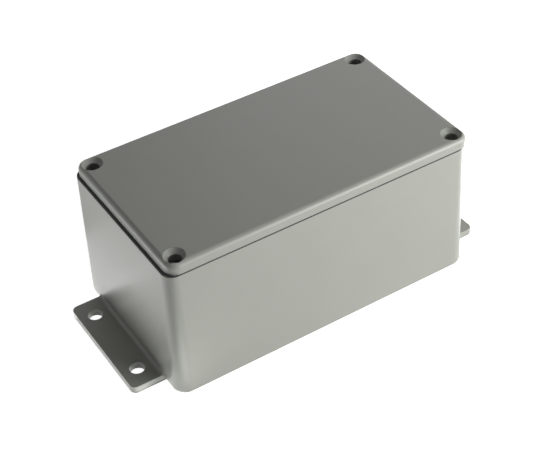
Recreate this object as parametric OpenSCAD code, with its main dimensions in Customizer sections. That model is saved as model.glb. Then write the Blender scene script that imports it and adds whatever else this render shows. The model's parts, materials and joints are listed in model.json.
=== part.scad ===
// Die cast box with end flanges, a flat gasket and a lid that lies loose on the rim.
// Origin: middle of the underside. +X runs along the length, +Z points up, sizes are in millimetres.

/* [Box] */
// Length over the rim
box_l = 115; // [90:1:180]
// Width over the rim
box_w = 65; // [50:1:110]
// Height from the underside to the rim
box_h = 50.6; // [30:0.1:80]
// Radius of the upright corners at the rim
corner_r = 4.1; // [3.5:0.1:6]
// Lean of the outside walls in degrees, wider towards the flanges
outer_draft = 1.1; // [0:0.1:2]
// Radius of the edge round the underside
bottom_edge_r = 1.8; // [0.8:0.1:3]
// Radius of the rim's outer edge
rim_edge_r = 0.1; // [0.1:0.05:0.4]
// Wall thickness at the rim
wall = 2.4; // [2:0.1:4]
// Lean of the inside walls in degrees, narrower towards the floor
inner_draft = 0.75; // [0:0.05:1.5]
// Thickness of the floor
floor_t = 3; // [2:0.1:5]
// Radius between the floor and the inside walls
floor_r = 2; // [0.5:0.1:3]
// Radius of the cavity's upright corners, half hidden by the screw pillars
cavity_corner_r = 3.8; // [3.2:0.1:6]

/* [Flanges] */
// How far a flange stands out past the rim
flange_reach = 12.7; // [9:0.1:25]
// Width of a flange
flange_w = 46.2; // [38:0.2:60]
// Thickness of a flange
flange_t = 2.8; // [2:0.1:5]
// Radius of a flange's outer corners
flange_corner_r = 2.2; // [1:0.1:3]
// Radius along a flange's upper and lower edges
flange_edge_r = 0.25; // [0.1:0.05:0.8]
// Radius of the hollow fillet between a flange and the end wall
flange_fillet_r = 1.5; // [0.5:0.1:3]
// Diameter of the four mounting holes
mount_hole_d = 5.3; // [3.2:0.1:6.6]
// From a flange's outer edge to the middle of its holes
mount_hole_inset = 5.7; // [4.5:0.1:7]
// Between the two holes of a flange
mount_hole_pitch = 30.8; // [20:0.1:34]

/* [Screw pillars] */
// From the rim's outer faces to the axis of a lid screw
screw_inset = 4.65; // [4.5:0.05:6]
// Diameter of a pillar at the rim
pillar_d = 8; // [7:0.1:9]
// Lean of a pillar's side in degrees, thicker towards the floor
pillar_draft = 0.5; // [0:0.1:1]
// Radius of the hollow fillets between a pillar and the walls
pillar_fillet_r = 2; // [1.5:0.1:3]
// Diameter of the tapping hole in a pillar
tap_d = 3.3; // [2.5:0.1:4.2]
// Depth of the tapping hole
tap_depth = 14; // [6:0.5:25]
// Width of the 45 degree chamfer at the mouth of every tapping hole
tap_chamfer = 0.35; // [0.2:0.05:0.5]

/* [Board stand-offs] */
// Height of a stand-off over the floor
standoff_h = 4; // [2:0.5:10]
// Diameter of a stand-off's top
standoff_d = 5.6; // [4.5:0.1:8]
// Lean of a stand-off's side in degrees
standoff_draft = 2; // [0:0.5:5]
// Diameter of the tapping hole in a stand-off
standoff_tap_d = 2.5; // [2:0.1:3.3]
// Depth of the tapping hole in a stand-off
standoff_tap_depth = 4.5; // [2:0.5:6]
// From the cavity's walls to a stand-off's axis
standoff_inset = 12; // [9:0.5:18]

/* [Gasket] */
// Thickness of the flat gasket
gasket_t = 0.4; // [0.2:0.1:2]
// How far the gasket stays back from the edges of the rim
gasket_setback = 0.05; // [0:0.05:0.5]
// Room round a lid screw where it passes the gasket, on the diameter
gasket_hole_play = 0.5; // [0.2:0.1:1]

/* [Lid] */
// Height of the lid's outer edge
lid_h = 4; // [3:0.1:8]
// Thickness of the lid inside its locating lip
lid_t = 2.6; // [2:0.1:2.9]
// Lean of the lid's sides in degrees, narrower towards the top
lid_draft = 1; // [0:0.1:3]
// Radius round the lid's top edge
lid_edge_r = 1.75; // [0.8:0.05:2.5]
// Radius round the lid's lower edge
lid_lower_edge_r = 0.1; // [0.05:0.05:0.6]
// How far the locating lip reaches down into the box, from the gasket
lip_h = 2.2; // [1:0.1:5]
// Thickness of the locating lip
lip_t = 1.6; // [1:0.1:2.5]
// Play all round between the locating lip and the mouth of the box
lip_play = 1.3; // [1.2:0.05:1.8]
// Diameter of the lid screws' clearance holes
screw_hole_d = 4.5; // [3.4:0.1:5]
// Diameter of the countersinks at the lid's top
countersink_d = 7.2; // [6.5:0.1:8.5]
// Full angle of the countersinks in degrees
countersink_angle = 90; // [80:1:120]
// Depth of the short straight wall above each countersink
countersink_wall = 0.15; // [0.05:0.05:0.4]
// How far the loose lid has slid along X within its play
lid_slip_x = 1; // [-1.1:0.1:1.1]
// How far the loose lid has slid along Y within its play
lid_slip_y = 0.1; // [-1.1:0.1:1.1]

/* [Hidden] */
$fn = 64;

paint_grey = [0.50, 0.50, 0.47];
rubber_black = [0.08, 0.08, 0.08];

// How far a cut runs past the face it opens, and how deep a joined piece is rooted in its wall
overrun = 1;
// How far a fillet's arc starts inside the pillar, so that the two curves cross and don't only touch
arc_overlap = 0.005;

// The rim's outline and the screw axes, shared by the box, the gasket and the lid
rim_x = box_l / 2;
rim_y = box_w / 2;
screw_x = rim_x - screw_inset;
screw_y = rim_y - screw_inset;

// The mouth of the cavity at the rim
mouth_x = rim_x - wall;
mouth_y = rim_y - wall;

// A flange reaches from inside the end wall to its outer edge
flange_inner_x = rim_x - wall;
flange_outer_x = rim_x + flange_reach;
mount_hole_x = flange_outer_x - mount_hole_inset;
mount_hole_y = mount_hole_pitch / 2;

standoff_x = mouth_x - standoff_inset;
standoff_y = mouth_y - standoff_inset;

lid_z = box_h + gasket_t;

// The right half of a disc, which rounds an edge of a profile
module half_disc(r) {
    intersection() {
        circle(r);
        translate([0, -r]) square([r, 2 * r]);
    }
}

// A block with a rounded rectangle for a plan. The child is its side profile over one corner:
// the distance from the corner's upright axis against the height, which starts at 0.
module corner_block(axis_x, axis_y, h) {
    for (i = [0:3])
        translate([(i == 0 || i == 3 ? 1 : -1) * axis_x, (i < 2 ? 1 : -1) * axis_y, 0])
            rotate([0, 0, 90 * i])
                rotate_extrude(angle = 90) children();
    rotate([90, 0, 90]) linear_extrude(2 * axis_x, center = true) spread(axis_y, h) children();
    rotate([90, 0, 0]) linear_extrude(2 * axis_y, center = true) spread(axis_x, h) children();
}

// The same side profile on both edges of a slab
module spread(half, h) {
    translate([-half, 0]) square([2 * half, h]);
    translate([half, 0]) children();
    mirror([1, 0]) translate([half, 0]) children();
}

// Plan outline: a rounded rectangle of half sizes x and y
module rounded_plan(x, y, r) {
    square([2 * (x - r), 2 * y], center = true);
    square([2 * x, 2 * (y - r)], center = true);
    for (sx = [-1, 1], sy = [-1, 1]) translate([sx * (x - r), sy * (y - r)]) circle(r);
}

// Side profile with a side that leans by lean degrees, outwards going up where lean is positive.
// foot_x is where the side would meet the floor. The lower and upper edges are rounded.
module leaning_profile(foot_x, lean, h, lower_r, upper_r) {
    lower = [foot_x + tan(lean) * lower_r - lower_r / cos(lean), lower_r];
    upper = [foot_x + tan(lean) * (h - upper_r) - upper_r / cos(lean), h - upper_r];
    outward = [cos(lean), -sin(lean)];
    polygon([[0, 0], [lower.x, 0], lower, lower + lower_r * outward, upper + upper_r * outward, upper,
        [upper.x, h], [0, h]]);
    translate(lower) half_disc(lower_r);
    translate(upper) half_disc(upper_r);
}

// Side profile of the cavity, from its floor to past the rim
module cavity_profile() {
    depth = box_h - floor_t;
    foot_x = cavity_corner_r - tan(inner_draft) * depth;
    edge = [foot_x + tan(inner_draft) * floor_r - floor_r / cos(inner_draft), floor_r];
    tangent = edge + floor_r * [cos(inner_draft), -sin(inner_draft)];
    polygon([[0, 0], [edge.x, 0], edge, tangent, [cavity_corner_r, depth],
        [cavity_corner_r, depth + overrun], [0, depth + overrun]]);
    translate(edge) half_disc(floor_r);
}

// Side profile of a flange, with both edges eased
module flange_profile() {
    flat_x = flange_corner_r - flange_edge_r;
    square([flat_x, flange_t]);
    translate([0, flange_edge_r]) square([flange_corner_r, flange_t - 2 * flange_edge_r]);
    for (z = [flange_edge_r, flange_t - flange_edge_r]) translate([flat_x, z]) circle(flange_edge_r);
}

// Places the child on the four screw axes, turned so that +X and +Y point into the box
module at_screws() {
    for (sx = [-1, 1], sy = [-1, 1])
        translate([sx * screw_x, sy * screw_y])
            mirror([sx > 0 ? 1 : 0, 0]) mirror([0, sy > 0 ? 1 : 0]) children();
}

// Plan of a pillar with a hollow fillet to each wall. grow thickens pillar and walls alike,
// so that the same outline serves whatever follows the mouth of the box at a distance.
module pillar_plan(grow) {
    wall_d = screw_inset - wall;
    fillet_r = pillar_fillet_r - grow;
    along = sqrt(pow(pillar_d / 2 + pillar_fillet_r - arc_overlap, 2) - pow(wall_d - pillar_fillet_r, 2));
    across = pillar_fillet_r - wall_d;
    circle(pillar_d / 2 + grow);
    if (fillet_r > 0)
        for (side = [0, 1]) mirror([side, -side])
            difference() {
                polygon([[0, 0], [along, across], [along, -wall_d - overrun], [0, -wall_d - overrun]]);
                translate([along, across]) circle(fillet_r);
            }
}

// Plan of the mouth of the box, kept back from its walls and pillars by inset
module mouth_plan(inset) {
    difference() {
        rounded_plan(mouth_x - inset, mouth_y - inset, cavity_corner_r - inset);
        at_screws() pillar_plan(inset);
    }
}

// One pillar, rooted in the floor
module pillar() {
    root_z = floor_t - overrun;
    root_d = pillar_d + 2 * tan(pillar_draft) * (box_h - root_z);
    translate([0, 0, root_z]) {
        cylinder(h = box_h - root_z, d1 = root_d, d2 = pillar_d);
        linear_extrude(box_h - root_z) pillar_plan(0);
    }
}

// Blind hole for a thread, chamfered at its mouth
module tapping_hole(top_z, d, depth) {
    translate([0, 0, top_z - depth]) cylinder(h = depth + overrun, d = d);
    translate([0, 0, top_z - tap_chamfer])
        cylinder(h = tap_chamfer + overrun, d1 = d, d2 = d + 2 * (tap_chamfer + overrun));
}

// One board stand-off, rooted in the floor
module standoff() {
    root_d = standoff_d + 2 * tan(standoff_draft) * (standoff_h + overrun);
    translate([0, 0, floor_t - overrun]) cylinder(h = standoff_h + overrun, d1 = root_d, d2 = standoff_d);
}

module at_standoffs() {
    for (sx = [-1, 1], sy = [-1, 1]) translate([sx * standoff_x, sy * standoff_y]) children();
}

// The flange on the +X end, with the fillet that blends it into the leaning wall
module flange() {
    half_l = (flange_outer_x - flange_inner_x) / 2;
    translate([flange_inner_x + half_l, 0, 0])
        corner_block(half_l - flange_corner_r, flange_w / 2 - flange_corner_r, flange_t) flange_profile();
    wall_x = rim_x + tan(outer_draft) * (box_h - flange_t);
    centre_x = wall_x - tan(outer_draft) * flange_fillet_r + flange_fillet_r / cos(outer_draft);
    rotate([90, 0, 0]) linear_extrude(flange_w - 2 * flange_edge_r, center = true)
        difference() {
            translate([flange_inner_x, flange_t / 2])
                square([centre_x - flange_inner_x, flange_t / 2 + flange_fillet_r]);
            translate([centre_x, flange_t + flange_fillet_r]) circle(flange_fillet_r);
        }
}

// The box casting: drafted walls, flanges, screw pillars and board stand-offs in one piece
module box() {
    color(paint_grey) difference() {
        union() {
            difference() {
                corner_block(rim_x - corner_r, rim_y - corner_r, box_h)
                    leaning_profile(corner_r + tan(outer_draft) * box_h, -outer_draft, box_h,
                        bottom_edge_r, rim_edge_r);
                translate([0, 0, floor_t])
                    corner_block(mouth_x - cavity_corner_r, mouth_y - cavity_corner_r,
                        box_h - floor_t + overrun) cavity_profile();
            }
            for (end = [0, 1]) mirror([end, 0, 0]) flange();
            at_screws() pillar();
            at_standoffs() standoff();
        }
        at_screws() tapping_hole(box_h, tap_d, tap_depth);
        at_standoffs() tapping_hole(floor_t + standoff_h, standoff_tap_d, standoff_tap_depth);
        for (sx = [-1, 1], sy = [-1, 1])
            translate([sx * mount_hole_x, sy * mount_hole_y, -overrun])
                cylinder(h = flange_t + 2 * overrun, d = mount_hole_d);
    }
}

// The flat gasket, cut to the rim, with a hole for each lid screw
module gasket() {
    color(rubber_black) translate([0, 0, box_h]) linear_extrude(gasket_t) difference() {
        rounded_plan(rim_x - gasket_setback, rim_y - gasket_setback, corner_r - gasket_setback);
        mouth_plan(-gasket_setback);
        at_screws() circle(d = screw_hole_d + gasket_hole_play);
    }
}

// Clearance hole and countersink of one lid screw, cut down from the lid's top
module countersunk_hole() {
    cone_h = (countersink_d - screw_hole_d) / 2 / tan(countersink_angle / 2);
    translate([0, 0, -overrun]) cylinder(h = lid_h + 2 * overrun, d = screw_hole_d);
    translate([0, 0, lid_h - countersink_wall - cone_h])
        cylinder(h = cone_h, d1 = screw_hole_d, d2 = countersink_d);
    translate([0, 0, lid_h - countersink_wall]) cylinder(h = countersink_wall + overrun, d = countersink_d);
}

// The lid casting: rounded top edge, countersunk holes, hollow underside and a locating lip
module lid() {
    color(paint_grey) translate([lid_slip_x, lid_slip_y, lid_z]) difference() {
        union() {
            corner_block(rim_x - corner_r, rim_y - corner_r, lid_h)
                leaning_profile(corner_r, -lid_draft, lid_h, lid_lower_edge_r, lid_edge_r);
            translate([0, 0, -lip_h]) linear_extrude(lip_h + overrun) mouth_plan(lip_play);
        }
        translate([0, 0, -lip_h - overrun])
            linear_extrude(lip_h + overrun + lid_h - lid_t) mouth_plan(lip_play + lip_t);
        at_screws() countersunk_hole();
    }
}

box();
gasket();
lid();
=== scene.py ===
# %% [markdown]
# # A flanged die cast box with a loose lid
#
# The real object is an instrument enclosure: a deep aluminium casting with two flat flanges to screw it
# down by, a thin black gasket on its rim, and a shallow lid casting that rests on top without its screws.
# Both castings are sprayed with a satin grey powder coat.
#
# The solids come ready made and at their real size. This script gives them their finish, turns a thread
# into each tapped hole, and sets up the table, the lamps and the camera.

# %% Load the solids
import json
import math

import bpy
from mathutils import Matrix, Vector


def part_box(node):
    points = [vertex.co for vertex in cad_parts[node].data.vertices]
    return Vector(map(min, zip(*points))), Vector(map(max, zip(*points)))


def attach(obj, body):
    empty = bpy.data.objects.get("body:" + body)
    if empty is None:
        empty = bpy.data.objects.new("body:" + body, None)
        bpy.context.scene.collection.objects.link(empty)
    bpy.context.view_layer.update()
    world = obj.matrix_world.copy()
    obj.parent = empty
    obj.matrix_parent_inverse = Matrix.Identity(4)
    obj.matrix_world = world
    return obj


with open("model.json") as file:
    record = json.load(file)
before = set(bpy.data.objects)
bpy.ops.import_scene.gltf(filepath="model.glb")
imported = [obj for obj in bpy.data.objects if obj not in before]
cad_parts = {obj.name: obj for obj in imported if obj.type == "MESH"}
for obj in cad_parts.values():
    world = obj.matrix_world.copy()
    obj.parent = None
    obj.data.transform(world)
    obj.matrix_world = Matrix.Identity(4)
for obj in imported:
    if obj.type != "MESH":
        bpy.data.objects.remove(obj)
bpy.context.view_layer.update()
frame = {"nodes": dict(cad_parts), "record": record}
_, box_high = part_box("box")
lid_low, lid_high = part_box("lid")

MM = 0.001

for name in frame["nodes"]:
    low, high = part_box(name)
    print(f"{name}: " + " x ".join(f"{side / MM:.1f}" for side in high - low) + " mm")

# %% [markdown]
# ## The camera
#
# A camera is easiest to set as on a tripod: walk round the object to a compass angle, raise the tripod to
# an elevation, step back a distance, and aim. The last small step is the roll, because a camera
# held by hand is seldom level. Azimuth 0 looks along +Y with +X to the right.

# %% Aim the camera
CAMERA_AZIMUTH = math.radians(-30.08)
CAMERA_ELEVATION = math.radians(40.15)
CAMERA_ROLL = math.radians(-3.41)
CAMERA_DISTANCE = 448.08 * MM
CAMERA_TARGET = Vector((-8.24, -11.25, 34.17)) * MM
SENSOR_WIDTH = 36.0
LENS = 89.64


def point_camera(azimuth, elevation, roll, distance, target):
    camera = bpy.data.objects.new("camera", bpy.data.cameras.new("camera"))
    bpy.context.scene.collection.objects.link(camera)
    towards_camera = Vector((
        math.sin(azimuth) * math.cos(elevation),
        -math.cos(azimuth) * math.cos(elevation),
        math.sin(elevation),
    ))
    camera.location = target + distance * towards_camera
    camera.rotation_euler = towards_camera.to_track_quat("Z", "Y").to_euler()
    camera.rotation_euler.rotate_axis("Z", roll)
    return camera


camera = point_camera(CAMERA_AZIMUTH, CAMERA_ELEVATION, CAMERA_ROLL, CAMERA_DISTANCE, CAMERA_TARGET)
camera.data.sensor_width = SENSOR_WIDTH
camera.data.lens = LENS
bpy.context.scene.camera = camera
print("camera stands at", [round(c / MM, 1) for c in camera.location], "mm")

# %% [markdown]
# ## A small kit for materials
#
# Each finish is a little graph of nodes. The same few steps repeat: add a node, set its fields, and link
# it. These helpers keep the graphs short. Every pattern reads Object coordinates. The solids sit at the
# origin with their place in the mesh, so one unit is one metre and a grain can be given in millimetres.

# %% Helpers for node graphs


def new_material(name):
    """A material with one Principled shader, its tree and its Object coordinates."""
    material = bpy.data.materials.new(name)
    material.use_nodes = True
    tree = material.node_tree
    shader = tree.nodes["Principled BSDF"]
    place = tree.nodes.new("ShaderNodeTexCoord").outputs["Object"]
    return material, tree, shader, place


def feed(tree, socket, value):
    """Links a socket, or sets a plain number or colour on it."""
    if isinstance(value, bpy.types.NodeSocket):
        tree.links.new(value, socket)
    else:
        socket.default_value = value


def maths(tree, operation, *values):
    node = tree.nodes.new("ShaderNodeMath")
    node.operation = operation
    for socket, value in zip(node.inputs, values):
        feed(tree, socket, value)
    return node.outputs[0]


def vector_maths(tree, operation, *values, result=0):
    node = tree.nodes.new("ShaderNodeVectorMath")
    node.operation = operation
    for socket, value in zip(node.inputs, values):
        feed(tree, socket, value)
    return node.outputs[result]


def noise(tree, place, grain_mm, detail=2.0, roughness=0.5):
    """Cloudy noise between 0 and 1 whose blobs are about grain_mm across."""
    node = tree.nodes.new("ShaderNodeTexNoise")
    tree.links.new(place, node.inputs["Vector"])
    node.inputs["Scale"].default_value = 1 / (grain_mm * MM)
    node.inputs["Detail"].default_value = detail
    node.inputs["Roughness"].default_value = roughness
    return node.outputs["Fac"]


def ramp(tree, value, low, high, to_low=0.0, to_high=1.0):
    """Maps low..high smoothly to to_low..to_high, and holds the ends."""
    node = tree.nodes.new("ShaderNodeMapRange")
    node.interpolation_type = "SMOOTHSTEP"
    for name, number in (("From Min", low), ("From Max", high), ("To Min", to_low), ("To Max", to_high)):
        node.inputs[name].default_value = number
    tree.links.new(value, node.inputs["Value"])
    return node.outputs["Result"]


def spread(tree, pattern, middle, by):
    """Lets a noise move a value up and down from its middle. Most of a noise lies between 0.3 and 0.7."""
    return ramp(tree, pattern, 0.3, 0.7, middle - by, middle + by)


def blend_colours(tree, share, first, second):
    node = tree.nodes.new("ShaderNodeMix")
    node.data_type = "RGBA"
    feed(tree, node.inputs[0], share)
    feed(tree, node.inputs[6], (*first, 1) if isinstance(first, tuple) else first)
    feed(tree, node.inputs[7], (*second, 1) if isinstance(second, tuple) else second)
    return node.outputs[2]


def blend_numbers(tree, share, first, second):
    node = tree.nodes.new("ShaderNodeMix")
    feed(tree, node.inputs[0], share)
    feed(tree, node.inputs[2], first)
    feed(tree, node.inputs[3], second)
    return node.outputs[0]


def bump(tree, height, depth_mm, under=None):
    """Raises the surface by depth_mm where height is 1. under is a normal to build on."""
    node = tree.nodes.new("ShaderNodeBump")
    node.inputs["Distance"].default_value = depth_mm * MM
    tree.links.new(height, node.inputs["Height"])
    if under is not None:
        tree.links.new(under, node.inputs["Normal"])
    return node.outputs["Normal"]


print("material helpers ready")

# %% [markdown]
# ## Where the spray reaches
#
# A powder gun coats the outside of a casting evenly. Into a deep box it only drifts: the coat thins out
# below the rim until bare metal shows. So the finish is one material that blends paint into bare casting.
# The share of bare metal comes from where a point lies: its distance from the rounded core of the plan,
# which tells the inside of a wall from its outside, and its height. The screw pillars are drilled after
# spraying, so their holes are bare. The lid's holes are cast, and the coat runs down their walls.

# %% Measure the walls for the blend
WALL_MIDDLE = 3.1 * MM
FLOOR_MIDDLE = 1.5 * MM
CORNER_RADIUS = 4.1 * MM
SPRAY_FADE_START = 6 * MM
SPRAY_FADE_END = 30 * MM
SPRAY_DRIFT = 5 * MM
SPRAY_CLOUD = 9
LID_SKIN_MIDDLE = 1.3 * MM
LID_PAINT_START = 3.2 * MM
LID_PAINT_END = 1.6 * MM
LID_DRIFT = 0.8 * MM
LID_CLOUD = 6
SCREW_INSET = 4.65 * MM
LID_BORE_RADIUS = 2.4 * MM
TAPPING_RADIUS = 2.0 * MM
CUT_EDGE = 0.02 * MM

lid_middle = (lid_low + lid_high) / 2
rim_half = Vector((lid_high.x - lid_low.x, lid_high.y - lid_low.y, 0)) / 2
core_half = rim_half - Vector((CORNER_RADIUS, CORNER_RADIUS, 0))
screw_half = rim_half - Vector((SCREW_INSET, SCREW_INSET, 0))
print("rim core", [round(c / MM, 1) for c in core_half.xy], "mm from the middle")
print("screws", [round(c / MM, 2) for c in screw_half.xy], "mm from the middle")


def folded_plan(tree, place, middle):
    """The plan position from the middle, folded into one quarter."""
    flat = vector_maths(tree, "MULTIPLY", place, (1, 1, 0))
    return vector_maths(tree, "ABSOLUTE", vector_maths(tree, "SUBTRACT", flat, (middle.x, middle.y, 0)))


def distance_from_core(tree, place, middle):
    """How far a point lies outside the rounded core of the plan."""
    beyond = vector_maths(tree, "SUBTRACT", folded_plan(tree, place, middle), tuple(core_half))
    beyond = vector_maths(tree, "MAXIMUM", beyond, (0, 0, 0))
    return vector_maths(tree, "LENGTH", beyond, result=1)


def height_of(tree, place):
    node = tree.nodes.new("ShaderNodeSeparateXYZ")
    tree.links.new(place, node.inputs[0])
    return node.outputs["Z"]


def round_the_screws(tree, place, middle, radius, face):
    """1 within the radius of the four screws and below the given face, 0 elsewhere."""
    from_screw = vector_maths(tree, "SUBTRACT", folded_plan(tree, place, middle), tuple(screw_half))
    near = maths(tree, "LESS_THAN", vector_maths(tree, "LENGTH", from_screw, result=1), radius + CUT_EDGE)
    below = maths(tree, "LESS_THAN", height_of(tree, place), face - CUT_EDGE)
    return maths(tree, "MULTIPLY", near, below)


def bare_share_of_box(tree, place):
    """1 where the box shows bare metal, 0 where there is paint."""
    rim_middle = Vector((0, 0, 0))
    inside = maths(tree, "LESS_THAN", distance_from_core(tree, place, rim_middle), WALL_MIDDLE)
    height = height_of(tree, place)
    above_floor = maths(tree, "GREATER_THAN", height, FLOOR_MIDDLE)
    drift = spread(tree, noise(tree, place, SPRAY_CLOUD, detail=4), 0, SPRAY_DRIFT)
    depth = maths(tree, "ADD", maths(tree, "SUBTRACT", box_high.z, height), drift)
    thin = ramp(tree, depth, SPRAY_FADE_START, SPRAY_FADE_END)
    cavity = maths(tree, "MULTIPLY", maths(tree, "MULTIPLY", inside, above_floor), thin)
    drilled = round_the_screws(tree, place, rim_middle, TAPPING_RADIUS, box_high.z)
    return maths(tree, "MAXIMUM", cavity, drilled)


def bare_share_of_lid(tree, place):
    """1 where the lid shows bare metal, 0 where there is paint."""
    distance = distance_from_core(tree, place, lid_middle)
    drift = spread(tree, noise(tree, place, LID_CLOUD, detail=4), 0, LID_DRIFT)
    inside = ramp(tree, maths(tree, "ADD", distance, drift), LID_PAINT_START, LID_PAINT_END)
    below_skin = maths(tree, "LESS_THAN", height_of(tree, place), lid_high.z - LID_SKIN_MIDDLE)
    underside = maths(tree, "MULTIPLY", inside, below_skin)
    bores = round_the_screws(tree, place, lid_middle, LID_BORE_RADIUS, lid_high.z)
    return maths(tree, "MULTIPLY", underside, maths(tree, "SUBTRACT", 1.0, bores))


# %% [markdown]
# ## Satin powder coat over a casting
#
# Powder melts into a skin that is never quite flat. From close by it has a fine pebble, a tenth of a
# millimetre or two across, on top of a slow ripple like orange peel. Each is a noise, used as bump and a
# little in the roughness. The grey itself is nearly even, with a faint cloudiness. The bare casting has a
# brighter, metallic skin with a sandy grain and soft flow marks. Sizes and depths are in millimetres.

# %% Mix the painted casting
PAINT_GREY = (0.296, 0.304, 0.272)
PAINT_GREY_THIN = (0.314, 0.322, 0.290)
BARE_METAL = (0.52, 0.52, 0.51)
BARE_METAL_DULL = (0.42, 0.42, 0.41)
PAINT_ROUGHNESS = 0.40
PAINT_ROUGHNESS_SPREAD = 0.04
BARE_ROUGHNESS = 0.48
BARE_ROUGHNESS_SPREAD = 0.1
CLOUD_SIZE = 14
FLOW_SIZE = 7
PEEL_SIZE = 2.2
PEBBLE_SIZE = 0.35
SAND_SIZE = 0.5
PEEL_DEPTH = 0.012
GRAIN_DEPTH = 0.008


def painted_casting(name, bare_share):
    material, tree, shader, place = new_material(name)
    bare = bare_share(tree, place)

    clouds = noise(tree, place, CLOUD_SIZE, detail=3)
    paint = blend_colours(tree, clouds, PAINT_GREY, PAINT_GREY_THIN)
    flow = noise(tree, place, FLOW_SIZE, detail=6, roughness=0.65)
    metal = blend_colours(tree, flow, BARE_METAL_DULL, BARE_METAL)
    feed(tree, shader.inputs["Base Color"], blend_colours(tree, bare, paint, metal))
    feed(tree, shader.inputs["Metallic"], bare)

    pebble = noise(tree, place, PEBBLE_SIZE, detail=2)
    sand = noise(tree, place, SAND_SIZE, detail=5, roughness=0.7)
    paint_roughness = spread(tree, pebble, PAINT_ROUGHNESS, PAINT_ROUGHNESS_SPREAD)
    metal_roughness = spread(tree, sand, BARE_ROUGHNESS, BARE_ROUGHNESS_SPREAD)
    feed(tree, shader.inputs["Roughness"], blend_numbers(tree, bare, paint_roughness, metal_roughness))

    peel = noise(tree, place, PEEL_SIZE, detail=1)
    grain = blend_numbers(tree, bare, pebble, sand)
    rippled = bump(tree, peel, PEEL_DEPTH)
    feed(tree, shader.inputs["Normal"], bump(tree, grain, GRAIN_DEPTH, under=rippled))
    return material


box_finish = painted_casting("painted_casting_box", bare_share_of_box)
lid_finish = painted_casting("painted_casting_lid", bare_share_of_lid)


def finish_node(node, material):
    solid = frame["nodes"][node]
    for slot in solid.material_slots:
        slot.material = material


finish_node("box", box_finish)
finish_node("lid", lid_finish)
print("painted:", box_finish.name, lid_finish.name)

# %% [markdown]
# ## Gasket rubber
#
# The gasket is die cut from black sheet. Rubber is dark and dull, and its skin has a fine dust of
# mineral filler, so the colour and the roughness vary a little over a fine grain.

# %% Mix the rubber
RUBBER_BLACK = (0.012, 0.012, 0.012)
RUBBER_DUSTY = (0.028, 0.028, 0.027)
RUBBER_ROUGHNESS = 0.75
RUBBER_ROUGHNESS_SPREAD = 0.1
DUST_SIZE = 0.8
DUST_DEPTH = 0.01


def gasket_rubber(name):
    material, tree, shader, place = new_material(name)
    dust = noise(tree, place, DUST_SIZE, detail=4, roughness=0.6)
    feed(tree, shader.inputs["Base Color"], blend_colours(tree, dust, RUBBER_BLACK, RUBBER_DUSTY))
    feed(tree, shader.inputs["Roughness"], spread(tree, dust, RUBBER_ROUGHNESS, RUBBER_ROUGHNESS_SPREAD))
    feed(tree, shader.inputs["Normal"], bump(tree, dust, DUST_DEPTH))
    return material


finish_node("gasket", gasket_rubber("gasket_rubber"))
print("gasket finished")

# %% [markdown]
# ## Threads in the tapped holes
#
# The screw pillars are tapped M4 for the lid screws, and the stand-offs M3 for a circuit board. A metric
# thread is an even triangle that climbs a helix, one pitch for each turn. So a circle of three points is
# stood on edge in the hole's wall, tip inwards, and a Screw modifier turns it round the hole's axis. It is
# made once for each size and copied to the holes, each copy with its own mesh. The places come from the
# holes' own patterns in the record. Tapping is the last cut, so this metal is the brightest. A real
# thread is cut into the wall. The solids keep the drill's diameter, so here it stands out of the wall
# instead, by less than its real depth.

# %% Mix the cut metal
CUT_ALUMINIUM = (0.66, 0.66, 0.65)
CUT_ALUMINIUM_DULL = (0.56, 0.56, 0.55)
CUT_ROUGHNESS = 0.32
CUT_ROUGHNESS_SPREAD = 0.06
SMEAR_SIZE = 0.6
SMEAR_DEPTH = 0.004


def cut_aluminium(name):
    material, tree, shader, place = new_material(name)
    shader.inputs["Metallic"].default_value = 1.0
    smear = noise(tree, place, SMEAR_SIZE, detail=3)
    feed(tree, shader.inputs["Base Color"], blend_colours(tree, smear, CUT_ALUMINIUM_DULL, CUT_ALUMINIUM))
    feed(tree, shader.inputs["Roughness"], spread(tree, smear, CUT_ROUGHNESS, CUT_ROUGHNESS_SPREAD))
    feed(tree, shader.inputs["Normal"], bump(tree, smear, SMEAR_DEPTH))
    return material


thread_finish = cut_aluminium("cut_aluminium")
print("mixed", thread_finish.name)

# %% Turn the threads
THREADS = (
    # name, hole pattern, pitch, crest height, and the lowest and highest point of the axis in mm
    ("pillar_thread", "pillar_tapping_holes", 0.7, 0.20, 37.6, 50.1),
    ("standoff_thread", "board_standoffs", 0.5, 0.15, 3.0, 6.7),
)
STEPS_PER_TURN = 24
THREAD_WIDTH = 0.75
SMOOTH_ANGLE = math.radians(30)
hole_patterns = {mount["name"]: mount["dims"] for mount in frame["record"]["mounts"]}


def only(piece):
    bpy.ops.object.select_all(action="DESELECT")
    piece.select_set(True)
    bpy.context.view_layer.objects.active = piece


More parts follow.
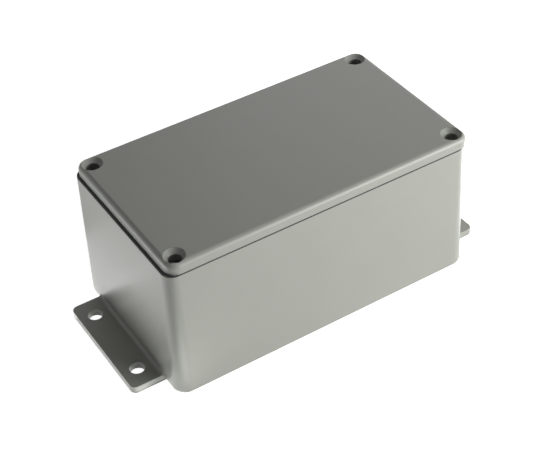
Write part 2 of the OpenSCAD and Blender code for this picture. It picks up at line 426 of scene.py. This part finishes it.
def turn_thread(hole_radius, pitch, crest, low, high):
    """One thread round the Z axis, made of a triangle with its tip at the crest.

    The triangle's side is THREAD_WIDTH of a pitch, and its corners lie that side over root 3 from its middle.
    """
    corner_reach = THREAD_WIDTH * pitch / math.sqrt(3)
    middle = hole_radius - crest + corner_reach
    bpy.ops.object.select_all(action="DESELECT")
    bpy.ops.mesh.primitive_circle_add(
        vertices=3,
        radius=corner_reach * MM,
        location=(middle * MM, 0, low * MM),
        rotation=(math.radians(90), math.radians(-90), 0),
    )
    thread = bpy.context.active_object
    bpy.ops.object.transform_apply(location=True, rotation=True, scale=True)
    screw = thread.modifiers.new("helix", "SCREW")
    screw.axis = "Z"
    screw.screw_offset = pitch * MM
    screw.iterations = int((high - low) / pitch)
    screw.steps = screw.render_steps = STEPS_PER_TURN
    bpy.ops.object.modifier_apply(modifier=screw.name)
    bpy.ops.object.mode_set(mode="EDIT")
    bpy.ops.mesh.select_all(action="SELECT")
    bpy.ops.mesh.fill_holes(sides=3)
    bpy.ops.mesh.normals_make_consistent(inside=False)
    bpy.ops.object.mode_set(mode="OBJECT")
    bpy.ops.object.shade_smooth_by_angle(angle=SMOOTH_ANGLE)
    thread.data.materials.append(thread_finish)
    return thread


def copy_to(thread, name, x, y):
    """A copy whose place is in its mesh."""
    only(thread)
    bpy.ops.object.duplicate(linked=False)
    copy = bpy.context.active_object
    copy.name = name
    bpy.ops.transform.translate(value=(x, y, 0))
    bpy.ops.object.transform_apply(location=True, rotation=True, scale=True)
    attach(copy, "box")


for name, pattern, pitch, crest, low, high in THREADS:
    holes = hole_patterns[pattern]
    thread = turn_thread(holes["hole_r_mm"], pitch, crest, low, high)
    half_x, half_y = holes["spacing_x_mm"] / 2 * MM, holes["spacing_y_mm"] / 2 * MM
    places = [(side * half_x, end * half_y) for side in (-1, 1) for end in (-1, 1)]
    for number, (x, y) in enumerate(places, start=1):
        copy_to(thread, f"{name}_{number}", x, y)
    print(f"{name}: 4 of {len(thread.data.polygons)} faces")
    bpy.data.objects.remove(thread)

# %% [markdown]
# ## The table and the white surroundings
#
# The object stands on a white sheet that runs out of view. The sheet is a real diffuse surface, so it
# throws light back up at the walls and takes their shadow, which light from all round leaves very faint.
# What the camera and reflections see is lifted to plain white through Light Path. That lift, and the
# white world, light nothing.

# %% Lay the floor and fill the world
FLOOR_SIZE = 6.0
FLOOR_DROP = 0.05 * MM
FLOOR_WHITE = 0.85
FLOOR_ROUGHNESS = 0.9
FLOOR_LIFT = 0.92


def seen_directly(tree):
    """1 for camera, glossy and transmission rays, 0 for the rays that carry diffuse light."""
    rays = tree.nodes.new("ShaderNodeLightPath").outputs
    direct = maths(tree, "MAXIMUM", rays["Is Camera Ray"], rays["Is Glossy Ray"])
    return maths(tree, "MAXIMUM", direct, rays["Is Transmission Ray"])


bpy.ops.object.select_all(action="DESELECT")
bpy.ops.mesh.primitive_plane_add(size=FLOOR_SIZE, location=(0, 0, -FLOOR_DROP))
floor = bpy.context.active_object
floor.name = "floor"
sheet, sheet_tree, sheet_shader, _ = new_material("white_sheet")
sheet_shader.inputs["Base Color"].default_value = (FLOOR_WHITE, FLOOR_WHITE, FLOOR_WHITE, 1)
sheet_shader.inputs["Roughness"].default_value = FLOOR_ROUGHNESS
sheet_shader.inputs["Specular IOR Level"].default_value = 0.0
sheet_shader.inputs["Emission Color"].default_value = (1, 1, 1, 1)
lift = maths(sheet_tree, "MULTIPLY", seen_directly(sheet_tree), FLOOR_LIFT)
feed(sheet_tree, sheet_shader.inputs["Emission Strength"], lift)
floor.data.materials.append(sheet)

world = bpy.data.worlds.new("white_surroundings")
bpy.context.scene.world = world
world.use_nodes = True
background = world.node_tree.nodes["Background"]
background.inputs["Color"].default_value = (1, 1, 1, 1)
feed(world.node_tree, background.inputs["Strength"], seen_directly(world.node_tree))
print("floor and world ready")

# %% [markdown]
# ## Soft light
#
# The light comes from large panels. Some lie on the table beside the object like a light table, and throw
# light up at its walls. Others hang further off and fill the top.

# %% Place the lamps
ON_TABLE = 0.4
STRAIGHT_UP = 100

TABLE_PANELS = (
    # name, middle across and along the table in mm, size in mm, radiance
    ("table_left_near", (-82, -2), (35, 63), 0.8),
    ("table_left_back", (-65, 40), (20, 40), 1.45),
    ("table_left_far", (-190, 35), (80, 130), 9.8),
    ("table_corner_left", (-65, -33), (17, 19), 1.1),
    ("table_corner_front", (-65, -51), (19, 18), 3.9),
    ("table_back", (35, 110), (150, 130), 2.2),
    ("table_right", (140, 20), (130, 100), 3.0),
)
SOFTBOXES = (
    # name, middle in mm, what it faces in mm, size in mm, radiance
    ("softbox_front_right", (330, -420, 145), (0, 0, 30), (430, 340), 9.3),
    ("softbox_back_right", (330, 420, 330), (0, 0, 50), (300, 300), 1.2),
    ("softbox_top", (0, 0, 700), (0, 0, 50), (400, 400), 0.75),
)


def place_lamp(name, middle, facing, size, radiance):
    """A flat panel whose surface has the given radiance, the power following from its area."""
    light = bpy.data.lights.new(name, "AREA")
    light.shape = "RECTANGLE"
    light.size, light.size_y = (side * MM for side in size)
    light.energy = radiance * math.pi * light.size * light.size_y
    lamp = bpy.data.objects.new(name, light)
    bpy.context.scene.collection.objects.link(lamp)
    lamp.location = Vector(middle) * MM
    towards = (Vector(facing) - Vector(middle)).normalized()
    lamp.rotation_euler = towards.to_track_quat("-Z", "Y").to_euler()
    lamp.visible_camera = False
    return lamp


for name, (x, y), size, radiance in TABLE_PANELS:
    place_lamp(name, (x, y, ON_TABLE), (x, y, STRAIGHT_UP), size, radiance)
for softbox in SOFTBOXES:
    place_lamp(*softbox)
print(len(TABLE_PANELS), "table panels and", len(SOFTBOXES), "softboxes")

# %% [markdown]
# ## Colour output
#
# Colours render as written: the view transform is Standard, with nothing added.

# %% Finish
bpy.context.scene.view_settings.view_transform = "Standard"
